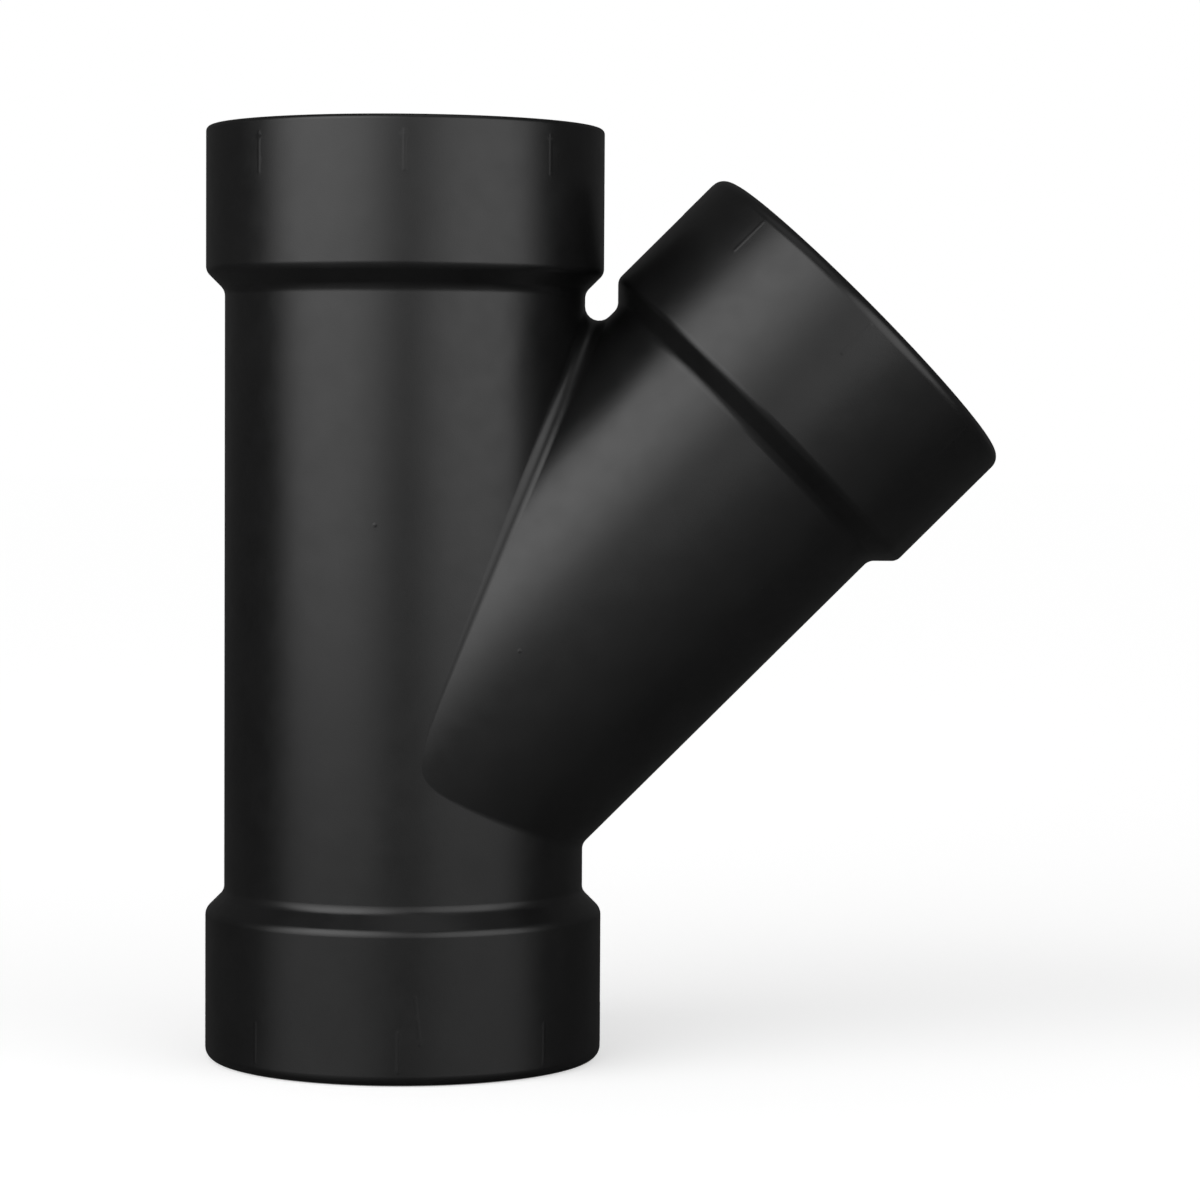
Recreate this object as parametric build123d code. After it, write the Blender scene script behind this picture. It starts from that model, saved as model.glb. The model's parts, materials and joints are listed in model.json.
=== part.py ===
"""A 45 degree lateral wye for 4 inch plastic drain pipe: a straight run with a branch, and a socket hub on each end.

It is one injection moulding, so it is one solid. The run stands on its lower hub along +Z, the branch leans
towards +X, and the fitting is symmetric about the XZ plane. The origin is the centre of the lower hub's rim.
All sizes are in millimetres.
"""

from build123d import *
from math import cos, hypot, radians, sin, tan
import os

# The pipe that each hub takes, and the fit around it
PIPE_DIAMETER = 114.3
PIPE_WALL = 6.02
SOCKET_CLEARANCE = 0.3
SOCKET_DEPTH = 44.45
SOCKET_LEAD_IN = 1.0

# Walls of the moulding, and how much slimmer in radius the branch's barrel and core are than the run's
HUB_WALL = 6.2
BARREL_WALL = 6.37
BRANCH_STEP = 0.4

# How far each hub keeps its full diameter past its socket's stop
LOWER_HUB_COVER = 3.05
UPPER_HUB_COVER = 1.55
BRANCH_HUB_COVER = 2.45

# The branch's lean from the run's axis, and the plain barrel left between its crease and each shoulder
BRANCH_ANGLE = 45.0
LOWER_NECK = 11.2
UPPER_NECK = 2.0
BRANCH_NECK = 1.8

# Cones between hub and barrel, and the rounding of the corners
SHOULDER_ANGLE = 45.0
SHOULDER_FILLET = 5.5
HUB_EDGE_ROUND = 2.5
LOWER_RIM_ROUND = 3.5
UPPER_RIM_ROUND = 1.6
BRANCH_RIM_ROUND = 4.2
CREASE_FILLET = 4.5
WATERWAY_ROUND = 2.5

# Raised marks round each hub, for turning the fitting to a set angle
MARK_COUNT = 8
MARK_LENGTH = 13.0
MARK_WIDTH = 2.0
MARK_HEIGHT = 0.2
MARK_FROM_RIM = 4.4
UPPER_MARK_TURN = 1.0
BRANCH_MARK_TURN = 0.6

# Radii that follow from the pipe and the walls
socket_radius = (PIPE_DIAMETER + SOCKET_CLEARANCE) / 2
hub_radius = socket_radius + HUB_WALL
run_bore = PIPE_DIAMETER / 2 - PIPE_WALL
run_radius = run_bore + BARREL_WALL
branch_bore = run_bore - BRANCH_STEP
branch_radius = run_radius - BRANCH_STEP

# Lengths along an axis that the cones and the fillets take up
lean = radians(BRANCH_ANGLE)
run_cone = (hub_radius - run_radius) / tan(radians(SHOULDER_ANGLE))
branch_cone = (hub_radius - branch_radius) / tan(radians(SHOULDER_ANGLE))
shoulder_run_in = SHOULDER_FILLET * tan(radians(SHOULDER_ANGLE / 2))
heel_run_in = CREASE_FILLET * tan(lean / 2)
crotch_run_in = CREASE_FILLET / tan(lean / 2)

# The heel is the crease's lowest point and the crotch its highest, both in the plane of the two axes
heel_below_crossing = (branch_radius - run_radius * cos(lean)) / sin(lean)
crotch_above_crossing = (branch_radius + run_radius * cos(lean)) / sin(lean)
crotch_along_branch = (run_radius + branch_radius * cos(lean)) / sin(lean)

# Heights up the run, and lengths along the branch from where its axis crosses the run's
lower_hub_length = SOCKET_DEPTH + LOWER_HUB_COVER
upper_hub_length = SOCKET_DEPTH + UPPER_HUB_COVER
branch_hub_length = SOCKET_DEPTH + BRANCH_HUB_COVER
lower_shoulder_end = lower_hub_length + run_cone
crossing_height = lower_shoulder_end + shoulder_run_in + LOWER_NECK + heel_run_in + heel_below_crossing
upper_shoulder_end = crossing_height + crotch_above_crossing + crotch_run_in + UPPER_NECK + shoulder_run_in
run_length = upper_shoulder_end + run_cone + upper_hub_length
branch_shoulder_end = crotch_along_branch + crotch_run_in + BRANCH_NECK + shoulder_run_in
branch_length = branch_shoulder_end + branch_cone + branch_hub_length

# Where the branch lies, with its own axis as Z, and the three rims, each with Z pointing out of its socket.
# The upper and the branch hub are turned a little about their own axes, as their marks show.
branch_place = Location((0, 0, crossing_height), (0, BRANCH_ANGLE, 0))
rims = {
    "lower": Location((0, 0, 0), (180, 0, 0)),
    "upper": Location((0, 0, run_length), (0, 0, UPPER_MARK_TURN)),
    "branch": branch_place * Location((0, 0, branch_length), (0, 0, BRANCH_MARK_TURN)),
}


def revolved(points, radii):
    """A solid of revolution about Z, from (radius, height) points that start and end on the axis.

    The corners between the first and the last point are rounded by the radii, in the same order.
    """
    outline = FilletPolyline(*points, radius=radii) + Line(points[-1], points[0])
    return revolve(Plane.XZ * make_face(outline), Axis.Z)


def run_outside():
    """The run's barrel with a hub at each end, filled."""
    return revolved(
        [
            (0, 0),
            (hub_radius, 0),
            (hub_radius, lower_hub_length),
            (run_radius, lower_shoulder_end),
            (run_radius, upper_shoulder_end),
            (hub_radius, upper_shoulder_end + run_cone),
            (hub_radius, run_length),
            (0, run_length),
        ],
        [LOWER_RIM_ROUND, HUB_EDGE_ROUND, SHOULDER_FILLET, SHOULDER_FILLET, HUB_EDGE_ROUND, UPPER_RIM_ROUND],
    )


def branch_outside():
    """The branch's barrel with its hub, filled, from the crossing to the rim."""
    return branch_place * revolved(
        [
            (0, 0),
            (branch_radius, 0),
            (branch_radius, branch_shoulder_end),
            (hub_radius, branch_shoulder_end + branch_cone),
            (hub_radius, branch_length),
            (0, branch_length),
        ],
        [0, SHOULDER_FILLET, HUB_EDGE_ROUND, BRANCH_RIM_ROUND],
    )


def core(radius, length):
    """A round bar along +Z from the origin."""
    return Cylinder(radius, length, align=(Align.CENTER, Align.CENTER, Align.MIN))


def with_filleted_crease(run, run_r, branch, branch_r, fillet_radius):
    """Run and branch as one solid, with a fillet all along the crease between their two cylinders."""
    both = run + branch

    def on_crease(edge):
        middle = edge @ 0.5
        from_branch = (branch_place.inverse() * Pos(middle)).position
        off_run = hypot(middle.X, middle.Y) - run_r
        off_branch = hypot(from_branch.X, from_branch.Y) - branch_r
        return max(abs(off_run), abs(off_branch)) < 0.01

    return fillet(both.edges().filter_by(on_crease), fillet_radius)


def socket():
    """The space of one socket with its lead-in, from a rim at the origin down along -Z to the pipe's stop."""
    return revolved(
        [
            (0, -SOCKET_DEPTH),
            (socket_radius, -SOCKET_DEPTH),
            (socket_radius, -SOCKET_LEAD_IN),
            (socket_radius + SOCKET_LEAD_IN, 0),
            (0, 0),
        ],
        [0, 0, 0],
    )


def marks():
    """The raised marks of one hub, whose rim is at the origin and whose socket opens along +Z.

    Each is the crown of a thin round bar that is sunk into the hub's wall.
    """
    bar_radius = (MARK_HEIGHT**2 + (MARK_WIDTH / 2) ** 2) / (2 * MARK_HEIGHT)
    bar = Pos(0, 0, -MARK_FROM_RIM - MARK_LENGTH) * core(bar_radius, MARK_LENGTH)
    return [place * bar for place in PolarLocations(hub_radius + MARK_HEIGHT - bar_radius, MARK_COUNT)]


def wye():
    """The whole fitting."""
    outside = with_filleted_crease(run_outside(), run_radius, branch_outside(), branch_radius, CREASE_FILLET)
    waterway = with_filleted_crease(
        core(run_bore, run_length),
        run_bore,
        branch_place * core(branch_bore, branch_length),
        branch_bore,
        WATERWAY_ROUND,
    )
    body = outside - waterway
    for rim in rims.values():
        body += [rim * mark for mark in marks()]
        body -= rim * socket()
    return body


body = wye()
print(f"crossing {crossing_height:.3f}, run {run_length:.3f}, branch {branch_length:.3f}")
print(f"solids {len(body.solids())}, volume {body.volume:.0f}, valid {body.is_valid}")
os.makedirs("parts", exist_ok=True)
export_step(body, "parts/wye_body.step")
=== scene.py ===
"""The looks of a 45 degree lateral wye in black plastic, on a pale floor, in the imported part's own frame.

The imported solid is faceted, so one finer closed skin of the same shape stands for it. The skin is worked out
in millimetres, round two axes that cross: the run's, which is Z, and the branch's.
"""

import json
from math import acos, ceil, cos, pi, radians, sin, tan

import bmesh
import bpy
import numpy as np
from mathutils import Matrix, Vector
from mathutils.geometry import delaunay_2d_cdt


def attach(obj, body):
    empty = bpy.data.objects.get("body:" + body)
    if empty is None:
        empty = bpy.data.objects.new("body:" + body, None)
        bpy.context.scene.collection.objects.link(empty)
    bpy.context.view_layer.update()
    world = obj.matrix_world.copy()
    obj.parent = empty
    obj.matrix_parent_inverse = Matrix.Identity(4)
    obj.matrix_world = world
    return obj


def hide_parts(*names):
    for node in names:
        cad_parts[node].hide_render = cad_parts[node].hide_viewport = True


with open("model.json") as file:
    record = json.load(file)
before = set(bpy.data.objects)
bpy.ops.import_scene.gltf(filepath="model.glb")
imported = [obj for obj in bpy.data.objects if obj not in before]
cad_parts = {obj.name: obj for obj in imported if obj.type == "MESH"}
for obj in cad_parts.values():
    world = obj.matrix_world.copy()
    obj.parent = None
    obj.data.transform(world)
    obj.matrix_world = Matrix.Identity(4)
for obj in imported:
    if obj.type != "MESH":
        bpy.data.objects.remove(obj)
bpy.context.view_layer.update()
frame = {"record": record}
mounts = {m["name"]: m for m in frame["record"]["mounts"]}

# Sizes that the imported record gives, in millimetres
MM = 0.001
upper_rim = Vector(mounts["upper_socket"]["pos_m"]) / MM
branch_rim = Vector(mounts["branch_socket"]["pos_m"]) / MM
branch_axis = Vector(mounts["branch_socket"]["axis"]).normalized()
SOCKET_RADIUS = mounts["lower_socket"]["dims"]["r_mm"]
SOCKET_WALL = mounts["lower_socket"]["dims"]["length_mm"]

# Sizes of the moulding, in millimetres
HUB_RADIUS = 63.5
RUN_RADIUS = 57.5
BRANCH_RADIUS = 57.1
RUN_BORE = 51.13
BRANCH_BORE = 50.73
LOWER_HUB = 47.5
UPPER_HUB = 46.0
BRANCH_HUB = 46.9
LEAD_IN = 1.0
SHOULDER_FILLET = 4.5
HUB_EDGE_ROUND = 3.8
LOWER_RIM_ROUND = 3.5
UPPER_RIM_ROUND = 1.6
BRANCH_RIM_ROUND = 4.2
CREASE_FILLET = 4.5
WATERWAY_ROUND = 2.5

# Raised marks on the hubs
MARK_COUNT = 8
MARK_LENGTH = 13.0
MARK_HALF_WIDTH = 1.0
MARK_HEIGHT = 0.06
MARK_FROM_RIM = 4.4
UPPER_MARK_TURN = 1.0
BRANCH_MARK_TURN = 0.6

# Small flaws of the moulding, by their places on the unrolled cylinders: millimetres round from the front,
# then along the axis from the crossing
LOWER_HUB_SCUFF = ((5.1, 64.3), (6.8, 78.8))
RUN_SPECK = (-7.8, 80.3)
BRANCH_SPECKS = ((-3.6, 55.6), (39.2, 122.0))
FLAW_HALF_WIDTH = 0.9
SCUFF_HEIGHT = 0.04
SPECK_HEIGHT = 0.09

# How finely the skin is divided: columns round an axis, rows along it, how far free points keep off fixed
# ones, steps in a rounded corner outside and in the waterway, and the angle where a cylinder is cut to unroll
ROUND_STEPS = 192
ROW_SPACING = 7.0
KEEP_OFF = 1.0
CORNER_STEPS = 8
WATERWAY_STEPS = 5
CUT = radians(-110)

# Points of a ridge: how far apart along it, where in its rounded ends as shares of its half width, how many
# across, and the distance over which its slope is taken
RIDGE_SPACING = 2.5
RIDGE_ENDS = (0, 0.33, 0.66, 1.0)
RIDGE_ACROSS = 9
SLOPE_STEP = 0.02

# Steps round the crease in degrees: fine ones near the front and the back, up to a turn, then coarse ones
CREASE_FINE = 0.5
CREASE_COARSE = 1.5
CREASE_TURN = 12

# Points nearer together than this become one, and how far their grid is shifted, in grid squares
WELD = 1e-4
WELD_SHIFT = 0.137

# What counts as nothing: a length, an area, a distance between a sheet's points, and a divisor
NO_LENGTH = 1e-6
NO_AREA = 1e-7
NO_DISTANCE = 1e-5
NO_DIVISOR = 1e-9

# How far below its shoulder a hub's outline starts, which only gives the barrel's direction, and how much of
# the plain bore below a socket's stop is made with the hub
BEYOND = 20.0
STOP_BAND = 5

# The camera, in millimetres and degrees, with the photograph's focal length and width in pixels, and how near
# and how far it sees in metres
CAMERA_PLACE = (29.5, -1255.5, 204.9)
CAMERA_DOWN = 2.634
CAMERA_RIGHT = 1.519
CAMERA_ROLL = 0.326
PHOTO_FOCAL = 3912.0
PHOTO_WIDTH = 1200
SENSOR = 36.0
CAMERA_RANGE = (0.05, 100)

# The plastic's tint and roughness, each from its lowest to its highest, and its index of refraction
PLASTIC_TINTS = (0.0040, 0.0040, 0.0041, 1), (0.0056, 0.0056, 0.0057, 1)
PLASTIC_ROUGHNESS = (0.28, 0.34)
PLASTIC_INDEX = 1.5

# The plastic's patterns, each with its waves to the metre and its octaves of detail, and the part of a
# pattern's range that is used
TINT_PATTERN = (60, 4)
ROUGHNESS_PATTERN = (140, 3)
GRAIN_PATTERN = (2600, 2)
FLOW_PATTERN = (28, 1)
PATTERN_RANGE = (0.3, 0.7)

# How strong the grain and the flow marks are, and how deep in metres
GRAIN_BUMP = (0.06, 0.0004)
FLOW_BUMP = (0.05, 0.004)

# The floor: its size, its own white, how bright the lamps make it at their middle and far off, where along Y
# that middle is, and how far it reaches, in metres
FLOOR_SIZE = 24.0
FLOOR_WHITE = 0.75
LIT_NEAR = 0.50
LIT_FAR = 0.19
LIT_MIDDLE = -0.25
LIT_REACH = 0.8

# The softboxes' bearing right or left of the camera's side in degrees, their distance from the run's axis,
# and how far above the floor they turn from their lower to their upper brightness, in metres
SOFTBOX_BEARING = 40
SOFTBOX_DISTANCE = 1.0
GLOW_STEP = (0.26, 0.55)

# What only reflections see, in metres: painted reflections that light and shade nothing, namely a glowing card
# overhead, a dark room, and a dark table just above the white floor. An edge is how far in from its rim the
# card's light fades.
CEILING_SIZE = 1.4
CEILING_EDGE = 0.3
CEILING_REFLECTION_GLOW = 0.45
CEILING_PLACE = (0.25, -0.3, 1.7)
ROOM_RADIUS = 3.0
ROOM_REFLECTION_DULL = (0.01, 0.01, 0.01, 1)
ROOM_REFLECTION_GLOW = 0.06
TABLE_SIZE = 6.0
TABLE_HEIGHT = 0.0004
TABLE_REFLECTION_TINT = (0.08, 0.08, 0.08, 1)
TABLE_ROUGHNESS = 0.25

# The light that the world gives to things, and the white that it shows to the camera and in reflections
WORLD_LIGHT = (0.25, 0.25, 0.25, 1)
WORLD_WHITE = (1, 1, 1, 1)

lean = acos(branch_axis.z)
branch_length = branch_rim.x / sin(lean)
crossing = branch_rim.z - branch_length * cos(lean)
FRONT = np.array([0.0, -1.0, 0.0])


class Tube:
    """A round form's own frame, from where the axes cross. Angle 0 is the front and 90 degrees the side."""

    def __init__(self, axis, side):
        self.start = np.array([0.0, 0.0, crossing])
        self.axis = np.array(axis)
        self.side = np.array(side)

    def out(self, angle):
        """Directions straight away from the axis."""
        return np.sin(angle)[:, None] * self.side + np.cos(angle)[:, None] * FRONT

    def round(self, angle):
        """Directions of growing angle."""
        return np.cos(angle)[:, None] * self.side - np.sin(angle)[:, None] * FRONT

    def at(self, radius, angle, height):
        """Points at a radius, an angle and a height along the axis."""
        return self.start + np.outer(height, self.axis) + np.asarray(radius)[:, None] * self.out(angle)


run_up = Tube((0.0, 0.0, 1.0), (1.0, 0.0, 0.0))
run_down = Tube((0.0, 0.0, -1.0), (1.0, 0.0, 0.0))
branch = Tube((sin(lean), 0.0, cos(lean)), (cos(lean), 0.0, -sin(lean)))


class Skin:
    """Gathers points, faces and the true normal at each face corner, and welds them into one closed mesh."""

    def __init__(self):
        self.points = []
        self.normals = []
        self.faces = []
        self.count = 0

    def add(self, points, normals, faces):
        """Adds a patch. Each face is turned so that it faces the way its corners' normals do."""
        a, b, c = (points[faces[:, k]] for k in range(3))
        facing = np.cross(b - a, c - a) if faces.shape[1] == 3 else np.cross(c - a, points[faces[:, 3]] - b)
        backward = (facing * normals[faces].mean(1)).sum(1) < 0
        faces = faces.copy()
        faces[backward] = faces[backward][:, ::-1]
        self.points.append(points)
        self.normals.append(normals)
        self.faces += (faces + self.count).tolist()
        self.count += len(points)

    def mesh(self, name):
        """The welded mesh, in metres."""
        points = np.concatenate(self.points)
        normals = np.concatenate(self.normals)
        grid = np.round(points / WELD + WELD_SHIFT).astype(np.int64)
        _, first, welded = np.unique(grid, axis=0, return_index=True, return_inverse=True)
        welded = welded.ravel()
        faces, corners = [], []
        for face in self.faces:
            ring = [k for n, k in enumerate(face) if welded[k] != welded[face[n - 1]]]
            if len(ring) > 2:
                faces.append([int(welded[k]) for k in ring])
                corners += [normals[k] for k in ring]
        mesh = bpy.data.meshes.new(name)
        mesh.from_pydata((points[first] * MM).tolist(), [], faces)
        mesh.polygons.foreach_set("use_smooth", [True] * len(faces))
        mesh.update()
        mesh.normals_split_custom_set([tuple(n) for n in corners])
        return mesh


def rounded(corners, radii, steps):
    """Profile rows (radius, height, normal's radius part, normal's height part) along a rounded outline.

    Walking along it, the outside is on the right. A corner of radius 0 stays sharp.
    """
    corners = [np.array(c, float) for c in corners]
    rows = []

    def row(point, normal):
        rows.append((*point, *normal))

    runs = [(b - a) / np.linalg.norm(b - a) for a, b in zip(corners[:-1], corners[1:])]
    outs = [np.array([d[1], -d[0]]) for d in runs]
    row(corners[0], outs[0])
    for corner, radius, d0, d1, n0, n1 in zip(corners[1:-1], radii, runs[:-1], runs[1:], outs[:-1], outs[1:]):
        turn = acos(np.clip(d0 @ d1, -1, 1))
        side = 1 if d0 @ n1 > 0 else -1
        start = corner - d0 * radius * tan(turn / 2)
        centre = start - side * radius * n0
        count = steps if radius else 1
        for k in range(count + 1):
            normal = cos(turn * k / count) * n0 + side * sin(turn * k / count) * d0
            row(centre + side * radius * normal if radius else corner, normal)
    row(corners[-1], outs[-1])
    return np.array(rows)


def revolve(skin, tube, rows, angles):
    """Turns profile rows round a tube's axis."""
    count = len(angles)
    points = np.concatenate([tube.at(np.full(count, r), angles, np.full(count, h)) for r, h, _, _ in rows])
    normals = np.concatenate([nr * tube.out(angles) + nh * tube.axis for _, _, nr, nh in rows])
    i, j = np.mgrid[: len(rows) - 1, :count]
    k = (j + 1) % count
    i, j, k = i.ravel(), j.ravel(), k.ravel()
    faces = np.stack([i * count + j, i * count + k, (i + 1) * count + k, (i + 1) * count + j], 1)
    gap = np.linalg.norm(rows[1:, :2] - rows[:-1, :2], axis=1)
    skin.add(points, normals, faces[gap[i] > NO_LENGTH])


def ridge_height(ridges, along, up):
    """How far the ridges lift the surface at points of the unrolled plane."""
    lift = np.zeros(len(along))
    for (x0, y0), (x1, y1), half_width, height in ridges:
        dx, dy = x1 - x0, y1 - y0
        share = np.clip(((along - x0) * dx + (up - y0) * dy) / max(dx * dx + dy * dy, NO_DIVISOR), 0, 1)
        off = np.hypot(along - x0 - share * dx, up - y0 - share * dy)
        lift += np.where(off < half_width, height * np.cos(pi * off / (2 * half_width)) ** 2, 0)
    return lift


def ridge_points(ridge):
    """Points of the unrolled plane that a ridge needs to show its form."""
    (x0, y0), (x1, y1), half_width, _ = ridge
    length = np.hypot(x1 - x0, y1 - y0)
    ahead, middle = np.array([0.0, 1.0]), np.zeros(0)
    if length > NO_LENGTH:
        ahead = np.array([x1 - x0, y1 - y0]) / length
        middle = np.linspace(0, length, ceil(length / RIDGE_SPACING) + 1)[1:-1]
    across = np.array([-ahead[1], ahead[0]])
    ends = half_width * np.array(RIDGE_ENDS)
    steps = np.unique(np.round(np.concatenate([-ends, middle, length + ends]), 5))
    return [
        np.array([x0, y0]) + step * ahead + share * half_width * across
        for step in steps
        for share in np.linspace(-1, 1, RIDGE_ACROSS)
    ]


def inside(polygon, x, y):
    """Which points lie inside a closed polygon."""
    found = np.zeros(len(x), bool)
    for (x0, y0), (x1, y1) in zip(polygon, np.roll(polygon, -1, 0)):
        crosses = (y0 > y) != (y1 > y)
        if crosses.any():
            at = x0 + (y - y0) / (y1 - y0) * (x1 - x0)
            found ^= crosses & (x < at)
    return found


def sheet(skin, tube, radius, low, high, hole=None, ridges=(), face=1):
    """The skin of a cylinder between two edges and outside a hole, with ridges on it.

    low and high are rows of (angle, height) from the cut once round to it again. hole is a closed ring of
    such rows. face is 1 where the skin faces away from the axis and -1 where it faces the axis.
    """
    scale = np.array([radius, 1.0])
    low, high = np.array(low) * scale, np.array(high) * scale
    rows = np.arange(low[:, 1].min() + ROW_SPACING / 2, high[:, 1].max(), ROW_SPACING)
    left = [(low[0, 0], y) for y in rows if low[0, 1] + KEEP_OFF < y < high[0, 1] - KEEP_OFF]
    right = [(low[-1, 0], y) for _, y in left]
    rim = [low, high] + ([np.array(left), np.array(right)] if left else [])
    fixed = list(rim)
    if hole is not None:
        hole = np.array(hole) * scale
        fixed.append(hole)
    fixed += [np.array(ridge_points(r)) for r in ridges]
    fixed = np.concatenate(fixed)
    columns = low[0, 0] + radius * 2 * pi * np.arange(1, ROUND_STEPS) / ROUND_STEPS
    free = np.stack(np.meshgrid(columns, rows), -1).reshape(-1, 2)
    above = free[:, 1] > np.interp(free[:, 0], low[:, 0], low[:, 1]) + KEEP_OFF
    below = free[:, 1] < np.interp(free[:, 0], high[:, 0], high[:, 1]) - KEEP_OFF
    free = free[above & below]
    if hole is not None:
        free = free[~inside(hole, free[:, 0], free[:, 1])]
    gap = np.min([((free - p) ** 2).sum(1) for p in fixed], axis=0)
    free = free[gap > KEEP_OFF**2]
    points = np.concatenate([fixed, free])

    edges = []

    def chain(first, count, closed=False):
        edges.extend((first + k, first + k + 1) for k in range(count - 1))
        if closed:
            edges.append((first + count - 1, first))

    chain(0, len(low))
    chain(len(low), len(high))
    if hole is not None:
        chain(sum(len(r) for r in rim), len(hole), closed=True)
    found = delaunay_2d_cdt([Vector(p) for p in points], edges, [], 0, NO_DISTANCE)
    source = np.array([o[0] if o else -1 for o in found[3]])
    if (source < 0).any():
        raise ValueError("the edges of a sheet cross each other")
    faces = source[np.array(found[2])]
    centre = points[faces].mean(1)
    kept = centre[:, 1] > np.interp(centre[:, 0], low[:, 0], low[:, 1])
    kept &= centre[:, 1] < np.interp(centre[:, 0], high[:, 0], high[:, 1])
    if hole is not None:
        kept &= ~inside(hole, centre[:, 0], centre[:, 1])
    a, b, c = (points[faces[:, k]] for k in range(3))
    area = (b - a)[:, 0] * (c - a)[:, 1] - (b - a)[:, 1] * (c - a)[:, 0]
    kept &= abs(area) > NO_AREA

    x, y = points[:, 0], points[:, 1]
    lift = ridge_height(ridges, x, y)
    step = SLOPE_STEP
    slope_x = (ridge_height(ridges, x + step, y) - ridge_height(ridges, x - step, y)) / (2 * step)
    slope_y = (ridge_height(ridges, x, y + step) - ridge_height(ridges, x, y - step)) / (2 * step)
    angle = x / radius
    normals = tube.out(angle) - slope_x[:, None] * tube.round(angle) - slope_y[:, None] * tube.axis
    normals *= face / np.linalg.norm(normals, axis=1)[:, None]
    skin.add(tube.at(radius + lift, angle, y), normals, faces[kept])


def crease_angles():
    """Angles round the branch, closer together in front and behind, where the crease turns sharply."""
    fine = np.arange(0, CREASE_TURN, CREASE_FINE)
    coarse = np.arange(CREASE_TURN, 90, CREASE_COARSE)
    quarter = np.concatenate([fine, coarse])
    half = np.concatenate([quarter, 180 - quarter[::-1], [90]])
    turns = np.radians(np.concatenate([half, half + 180]))
    turns = np.mod(turns - CUT, 2 * pi)
    return CUT + np.unique(np.round(np.concatenate([turns, [0]]), 9))


def crease(skin, run_radius, branch_radius, ball, steps, face):
    """The rounded crease between the two cylinders, as a ball of that radius rolls along both.

    Returns its lines of contact as (angle, height) rows, on the run and on the branch. face is 1 where the
    rounding fills a hollow crease and -1 where it takes off a sharp edge from inside the wall.
    """
    angle = crease_angles()
    reach_run, reach_branch = run_radius + ball, branch_radius + ball
    rise = np.sqrt(reach_run**2 - (reach_branch * np.cos(angle)) ** 2)
    height = (rise - reach_branch * np.sin(angle) * cos(lean)) / sin(lean)
    centre = branch.at(np.full(len(angle), reach_branch), angle, height)
    from_axis = centre - branch.start
    run_angle = np.arctan2(from_axis[:, 0], -from_axis[:, 1])
    run_height = from_axis[:, 2]
    on_run = run_up.at(np.full(len(angle), run_radius), run_angle, run_height)
    on_branch = branch.at(np.full(len(angle), branch_radius), angle, height)
    a = (on_run - centre) / ball
    b = (on_branch - centre) / ball
    between = np.arccos(np.clip((a * b).sum(1), -1, 1))[:, None]
    spokes = []
    for k in range(steps + 1):
        share = k / steps
        spokes.append((np.sin((1 - share) * between) * a + np.sin(share * between) * b) / np.sin(between))
    spokes[0], spokes[-1] = a, b
    count = len(angle)
    points = np.concatenate([centre + ball * spoke for spoke in spokes])
    normals = np.concatenate([-face * spoke for spoke in spokes])
    i, j = np.mgrid[:steps, :count]
    i, j = i.ravel(), j.ravel()
    k = (j + 1) % count
    faces = np.stack([i * count + j, i * count + k, (i + 1) * count + k, (i + 1) * count + j], 1)
    skin.add(points, normals, faces)
    low = np.stack([angle, height], 1)
    low = np.concatenate([low, [[low[0, 0] + 2 * pi, low[0, 1]]]])
    run_angle = CUT + np.mod(run_angle - CUT, 2 * pi)
    return np.stack([run_angle, run_height], 1), low


def level(height):
    """An edge at one height, once round from the cut."""
    return [(CUT + 2 * pi * k / ROUND_STEPS, height) for k in range(ROUND_STEPS + 1)]


def hub_marks(rim, turn):
    """The raised marks of one hub as ridges."""
    marks = []
    for k in range(MARK_COUNT):
        angle = CUT + np.mod(radians(turn + 360 * k / MARK_COUNT) - CUT, 2 * pi)
        top = rim - MARK_FROM_RIM - MARK_HALF_WIDTH / 2
        foot = rim - MARK_FROM_RIM - MARK_LENGTH + MARK_HALF_WIDTH / 2
        x = HUB_RADIUS * angle
        marks.append(((x, foot), (x, top), MARK_HALF_WIDTH, MARK_HEIGHT))
    return marks


def speck(place):
    """A small round bump as a ridge without length."""
    return place, place, FLAW_HALF_WIDTH, SPECK_HEIGHT


def hub(skin, tube, radii, rim, hub_length, rim_round, ridges):
    """One hub with its shoulder outside and its socket and stop inside.

    radii are the barrel's and the bore's. Returns the heights where the plain barrel and bore take over.
    """
    barrel_radius, bore = radii
    angles = CUT + 2 * pi * np.arange(ROUND_STEPS) / ROUND_STEPS
    shoulder = HUB_RADIUS - barrel_radius
    hub_start = rim - hub_length
    stop = rim - LEAD_IN - SOCKET_WALL
    middle = (hub_start + rim) / 2
    foot = rounded(
        [
            (barrel_radius, hub_start - shoulder - BEYOND),
            (barrel_radius, hub_start - shoulder),
            (HUB_RADIUS, hub_start),
            (HUB_RADIUS, middle),
        ],
        [SHOULDER_FILLET, HUB_EDGE_ROUND],
        CORNER_STEPS,
    )[1:-1]
    mouth = rounded(
        [
            (HUB_RADIUS, middle),
            (HUB_RADIUS, rim),
            (SOCKET_RADIUS + LEAD_IN, rim),
            (SOCKET_RADIUS, rim - LEAD_IN),
            (SOCKET_RADIUS, stop),
            (bore, stop),
            (bore, stop - STOP_BAND),
        ],
        [rim_round, 0, 0, 0, 0],
        CORNER_STEPS,
    )[1:]
    revolve(skin, tube, foot, angles)
    revolve(skin, tube, mouth, angles)
    sheet(skin, tube, HUB_RADIUS, level(foot[-1, 1]), level(mouth[0, 1]), ridges=ridges)
    return foot[0, 1], mouth[-1, 1]


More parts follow.
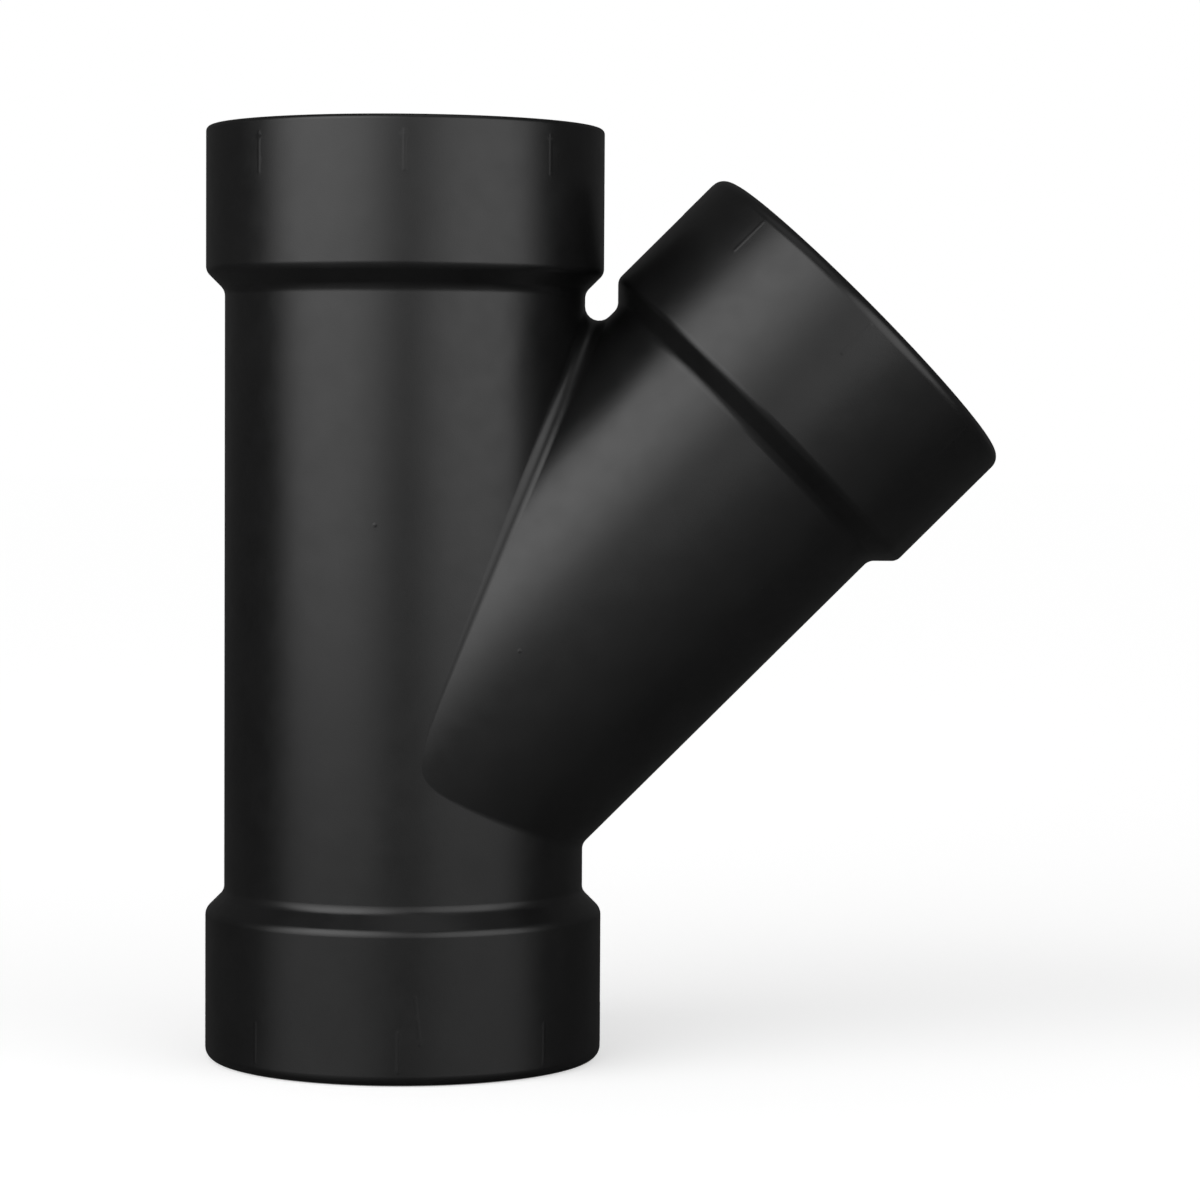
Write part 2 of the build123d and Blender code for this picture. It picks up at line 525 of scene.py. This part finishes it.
def build_skin():
    """The whole fitting as one closed mesh."""
    skin = Skin()
    upper = upper_rim.z - crossing
    upper_ridges = hub_marks(upper, UPPER_MARK_TURN)
    lower_ridges = [*hub_marks(crossing, 0.0), (*LOWER_HUB_SCUFF, FLAW_HALF_WIDTH, SCUFF_HEIGHT)]
    branch_ridges = hub_marks(branch_length, BRANCH_MARK_TURN)
    run_radii = (RUN_RADIUS, RUN_BORE)
    branch_radii = (BRANCH_RADIUS, BRANCH_BORE)
    top_out, top_in = hub(skin, run_up, run_radii, upper, UPPER_HUB, UPPER_RIM_ROUND, upper_ridges)
    foot_out, foot_in = hub(skin, run_down, run_radii, crossing, LOWER_HUB, LOWER_RIM_ROUND, lower_ridges)
    arm_out, arm_in = hub(
        skin, branch, branch_radii, branch_length, BRANCH_HUB, BRANCH_RIM_ROUND, branch_ridges
    )
    hole, low = crease(skin, RUN_RADIUS, BRANCH_RADIUS, CREASE_FILLET, CORNER_STEPS, face=1)
    sheet(skin, run_up, RUN_RADIUS, level(-foot_out), level(top_out), hole=hole, ridges=[speck(RUN_SPECK)])
    specks = [speck(place) for place in BRANCH_SPECKS]
    sheet(skin, branch, BRANCH_RADIUS, low, level(arm_out), ridges=specks)
    hole, low = crease(skin, RUN_BORE, BRANCH_BORE, WATERWAY_ROUND, WATERWAY_STEPS, face=-1)
    sheet(skin, run_up, RUN_BORE, level(-foot_in), level(top_in), hole=hole, face=-1)
    sheet(skin, branch, BRANCH_BORE, low, level(arm_in), face=-1)
    return skin.mesh("wye_skin")


def principled(name):
    """A new material with its node tree and its Principled shader."""
    material = bpy.data.materials.new(name)
    material.use_nodes = True
    return material, material.node_tree, material.node_tree.nodes["Principled BSDF"]


def made_of(name, surface):
    """A new material whose shader is what surface, a function, makes in its empty node tree."""
    material = bpy.data.materials.new(name)
    material.use_nodes = True
    tree = material.node_tree
    tree.nodes.clear()
    out = tree.nodes.new("ShaderNodeOutputMaterial")
    tree.links.new(surface(tree), out.inputs["Surface"])
    return material


def ranged(tree, value, known, wanted, kind="LINEAR"):
    """A value that goes from the first wanted level to the second as another crosses a known range."""
    node = tree.nodes.new("ShaderNodeMapRange")
    node.interpolation_type = kind
    node.inputs["From Min"].default_value, node.inputs["From Max"].default_value = known
    node.inputs["To Min"].default_value, node.inputs["To Max"].default_value = wanted
    tree.links.new(value, node.inputs["Value"])
    return node.outputs["Result"]


def black_plastic():
    """Moulded black plastic: nearly black, satin, with a fine grain and slow flow marks."""
    material, tree, shader = principled("black_plastic")
    nodes, links = tree.nodes, tree.links
    where = nodes.new("ShaderNodeTexCoord").outputs["Object"]

    def noise(scale, detail):
        node = nodes.new("ShaderNodeTexNoise")
        node.inputs["Scale"].default_value = scale
        node.inputs["Detail"].default_value = detail
        links.new(where, node.inputs["Vector"])
        return node.outputs["Fac"]

    def bump(height, strength, distance, normal=None):
        node = nodes.new("ShaderNodeBump")
        node.inputs["Strength"].default_value = strength
        node.inputs["Distance"].default_value = distance
        links.new(height, node.inputs["Height"])
        if normal:
            links.new(normal, node.inputs["Normal"])
        return node.outputs["Normal"]

    colour = nodes.new("ShaderNodeMix")
    colour.data_type = "RGBA"
    colour.inputs["A"].default_value, colour.inputs["B"].default_value = PLASTIC_TINTS
    links.new(ranged(tree, noise(*TINT_PATTERN), PATTERN_RANGE, (0, 1)), colour.inputs["Factor"])
    links.new(colour.outputs["Result"], shader.inputs["Base Color"])
    roughness = ranged(tree, noise(*ROUGHNESS_PATTERN), PATTERN_RANGE, PLASTIC_ROUGHNESS)
    links.new(roughness, shader.inputs["Roughness"])
    grain = bump(noise(*GRAIN_PATTERN), *GRAIN_BUMP)
    links.new(bump(noise(*FLOW_PATTERN), *FLOW_BUMP, grain), shader.inputs["Normal"])
    shader.inputs["IOR"].default_value = PLASTIC_INDEX
    return material


def dark_room():
    """A dull, nearly black wall with a very weak glow, for a painted dark reflection round the plastic."""
    material, _, shader = principled("dark_room")
    shader.inputs["Base Color"].default_value = ROOM_REFLECTION_DULL
    shader.inputs["Roughness"].default_value = 1.0
    shader.inputs["Specular IOR Level"].default_value = 0.0
    shader.inputs["Emission Color"].default_value = (1, 1, 1, 1)
    shader.inputs["Emission Strength"].default_value = ROOM_REFLECTION_GLOW
    return material


def glossy_table():
    """A dark table with a sheen that only reflections see, a painted reflection: from low down it mirrors the
    softboxes.
    """
    material, _, shader = principled("glossy_table")
    shader.inputs["Base Color"].default_value = TABLE_REFLECTION_TINT
    shader.inputs["Roughness"].default_value = TABLE_ROUGHNESS
    return material


def calculate(tree, operation, *values):
    """A sum or the like of numbers and of other nodes' outputs."""
    node = tree.nodes.new("ShaderNodeMath")
    node.operation = operation
    for socket, value in zip(node.inputs, values):
        if isinstance(value, (int, float)):
            socket.default_value = value
        else:
            tree.links.new(value, socket)
    return node.outputs[0]


def own_place(tree):
    """The shaded point in the object's own X, Y and Z."""
    parts = tree.nodes.new("ShaderNodeSeparateXYZ")
    tree.links.new(tree.nodes.new("ShaderNodeTexCoord").outputs["Object"], parts.inputs[0])
    return parts.outputs


def seen_directly(tree):
    """1 for what the camera, a reflection or a clear material sees, and 0 for light that lands on things."""
    rays = tree.nodes.new("ShaderNodeLightPath").outputs
    camera_or_glossy = calculate(tree, "MAXIMUM", rays["Is Camera Ray"], rays["Is Glossy Ray"])
    return calculate(tree, "MAXIMUM", camera_or_glossy, rays["Is Transmission Ray"])


def pale_floor():
    """A white floor that keeps the object's shadow.

    The lamps light it less and less from front to back. A glow that lights nothing makes up for that, so the
    floor stays white as far as the horizon.
    """

    def surface(tree):
        lit = tree.nodes.new("ShaderNodeBsdfDiffuse")
        lit.inputs["Color"].default_value = (FLOOR_WHITE, FLOOR_WHITE, FLOOR_WHITE, 1)
        from_middle = calculate(tree, "SUBTRACT", own_place(tree)["Y"], LIT_MIDDLE)
        away = calculate(tree, "DIVIDE", from_middle, LIT_REACH)
        falloff = calculate(tree, "ADD", calculate(tree, "MULTIPLY", away, away), 1.0)
        lamp_share = calculate(tree, "DIVIDE", LIT_NEAR - LIT_FAR, falloff)
        missing = calculate(tree, "SUBTRACT", 1.0 - LIT_FAR, lamp_share)
        glow = tree.nodes.new("ShaderNodeEmission")
        tree.links.new(calculate(tree, "MULTIPLY", missing, seen_directly(tree)), glow.inputs["Strength"])
        both = tree.nodes.new("ShaderNodeAddShader")
        tree.links.new(lit.outputs[0], both.inputs[0])
        tree.links.new(glow.outputs[0], both.inputs[1])
        return both.outputs[0]

    return made_of("pale_floor", surface)


def fading_glow(name, brightness, span, soft):
    """A card's own light, full in its middle and turning clear towards its four edges.

    brightness is the light's strength low and high on the card, span the card's width and height, and soft
    how far from each edge the light is full, in metres: at -X, +X, -Y and +Y.
    """

    def surface(tree):
        place = own_place(tree)
        step = [height - span[1] / 2 for height in GLOW_STEP]
        glow = tree.nodes.new("ShaderNodeEmission")
        tree.links.new(ranged(tree, place[1], step, brightness, "SMOOTHSTEP"), glow.inputs["Strength"])
        clear = tree.nodes.new("ShaderNodeBsdfTransparent")
        seen = glow.outputs[0]
        for axis, side, reach in zip((0, 0, 1, 1), (-1, 1, -1, 1), soft):
            edge = side * span[axis] / 2
            ends = sorted((edge, edge - side * reach))
            share = ranged(tree, place[axis], ends, (0, 1) if side < 0 else (1, 0), "SMOOTHSTEP")
            mix = tree.nodes.new("ShaderNodeMixShader")
            tree.links.new(share, mix.inputs["Fac"])
            tree.links.new(clear.outputs[0], mix.inputs[1])
            tree.links.new(seen, mix.inputs[2])
            seen = mix.outputs[0]
        return seen

    return made_of(name, surface)


def studio_world():
    """White to the camera and in reflections, and a weak grey light on everything."""
    world = bpy.data.worlds.new("studio")
    bpy.context.scene.world = world
    world.use_nodes = True
    tree = world.node_tree
    mix = tree.nodes.new("ShaderNodeMix")
    mix.data_type = "RGBA"
    mix.inputs["A"].default_value = WORLD_LIGHT
    mix.inputs["B"].default_value = WORLD_WHITE
    tree.links.new(seen_directly(tree), mix.inputs["Factor"])
    tree.links.new(mix.outputs["Result"], tree.nodes["Background"].inputs["Color"])


def staged(name, mesh, material):
    """A studio piece that isn't part of the object."""
    piece = bpy.data.objects.new(name, mesh)
    bpy.context.collection.objects.link(piece)
    mesh.materials.append(material)
    return piece


def plate(name, width, height):
    """A flat four-sided mesh in its own XY plane, about its middle."""
    mesh = bpy.data.meshes.new(name)
    x, y = width / 2, height / 2
    mesh.from_pydata([(-x, -y, 0), (x, -y, 0), (x, y, 0), (-x, y, 0)], [], [(0, 1, 2, 3)])
    return mesh


def sphere(name, radius):
    """A sphere's mesh about the origin."""
    shape = bmesh.new()
    bmesh.ops.create_uvsphere(shape, u_segments=48, v_segments=24, radius=radius)
    mesh = bpy.data.meshes.new(name)
    shape.to_mesh(mesh)
    shape.free()
    return mesh


def as_painted_reflection(piece):
    """A piece that only reflections see, as a painted reflection that lights and shades nothing."""
    piece.visible_camera = False
    piece.visible_diffuse = False
    piece.visible_shadow = False
    return piece


def softbox(name, bearing, height, width, brightness, soft):
    """A softbox that stands on the floor and faces the object, at a bearing in degrees; sizes in metres."""
    span = (width, height)
    piece = staged(name, plate(name, *span), fading_glow(name, brightness, span, soft))
    turn = radians(bearing)
    piece.location = (SOFTBOX_DISTANCE * sin(turn), -SOFTBOX_DISTANCE * cos(turn), height / 2)
    piece.rotation_euler = (pi / 2, 0, turn)
    piece.visible_camera = False
    piece.visible_shadow = False


def studio():
    """The floor, the lights, and what the plastic reflects, with painted reflections that light nothing."""
    staged("floor", plate("floor", FLOOR_SIZE, FLOOR_SIZE), pale_floor())
    # The dark room is a painted reflection: only the plastic's reflections see it, and it lights and shades
    # nothing.
    as_painted_reflection(staged("dark_room", sphere("dark_room", ROOM_RADIUS), dark_room()))
    # The table is a painted reflection: the plastic mirrors it in place of the white floor, which it hides
    # only from reflections.
    table = staged("glossy_table", plate("glossy_table", TABLE_SIZE, TABLE_SIZE), glossy_table())
    as_painted_reflection(table).location.z = TABLE_HEIGHT
    softbox(
        "softbox_left",
        -SOFTBOX_BEARING,
        height=1.9,
        width=2.3,
        brightness=(1.8, 2.75),
        soft=(0.85, 1.1, 0.1, 0.6),
    )
    softbox(
        "softbox_right",
        SOFTBOX_BEARING,
        height=1.3,
        width=2.1,
        brightness=(1.7, 1.7),
        soft=(1.0, 0.65, 0.1, 0.5),
    )
    # The ceiling card is a painted reflection: its glow shows only in the plastic and lights nothing.
    span = (CEILING_SIZE, CEILING_SIZE)
    glow = fading_glow("ceiling_card", (CEILING_REFLECTION_GLOW, CEILING_REFLECTION_GLOW), span, (CEILING_EDGE,) * 4)
    as_painted_reflection(staged("ceiling_card", plate("ceiling_card", *span), glow)).location = CEILING_PLACE
    studio_world()


def add_camera():
    """The photograph's camera."""
    data = bpy.data.cameras.new("camera")
    data.sensor_width = SENSOR
    data.lens = PHOTO_FOCAL / PHOTO_WIDTH * SENSOR
    camera = bpy.data.objects.new("camera", data)
    bpy.context.collection.objects.link(camera)
    down, right, roll = radians(CAMERA_DOWN), radians(CAMERA_RIGHT), radians(CAMERA_ROLL)
    ahead = Vector((sin(right) * cos(down), cos(right) * cos(down), -sin(down)))
    level_right = Vector((cos(right), -sin(right), 0))
    level_up = level_right.cross(ahead)
    x = cos(roll) * level_right + sin(roll) * level_up
    y = -sin(roll) * level_right + cos(roll) * level_up
    turn = Matrix((x, y, -ahead)).transposed()
    camera.matrix_world = Matrix.Translation(Vector(CAMERA_PLACE) * MM) @ turn.to_4x4()
    data.clip_start, data.clip_end = CAMERA_RANGE
    bpy.context.scene.camera = camera


wye = bpy.data.objects.new("wye_skin", build_skin())
bpy.context.collection.objects.link(wye)
wye.data.materials.append(black_plastic())
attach(wye, "root")
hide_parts("wye_body")

studio()
add_camera()
bpy.context.scene.view_settings.view_transform = "Standard"
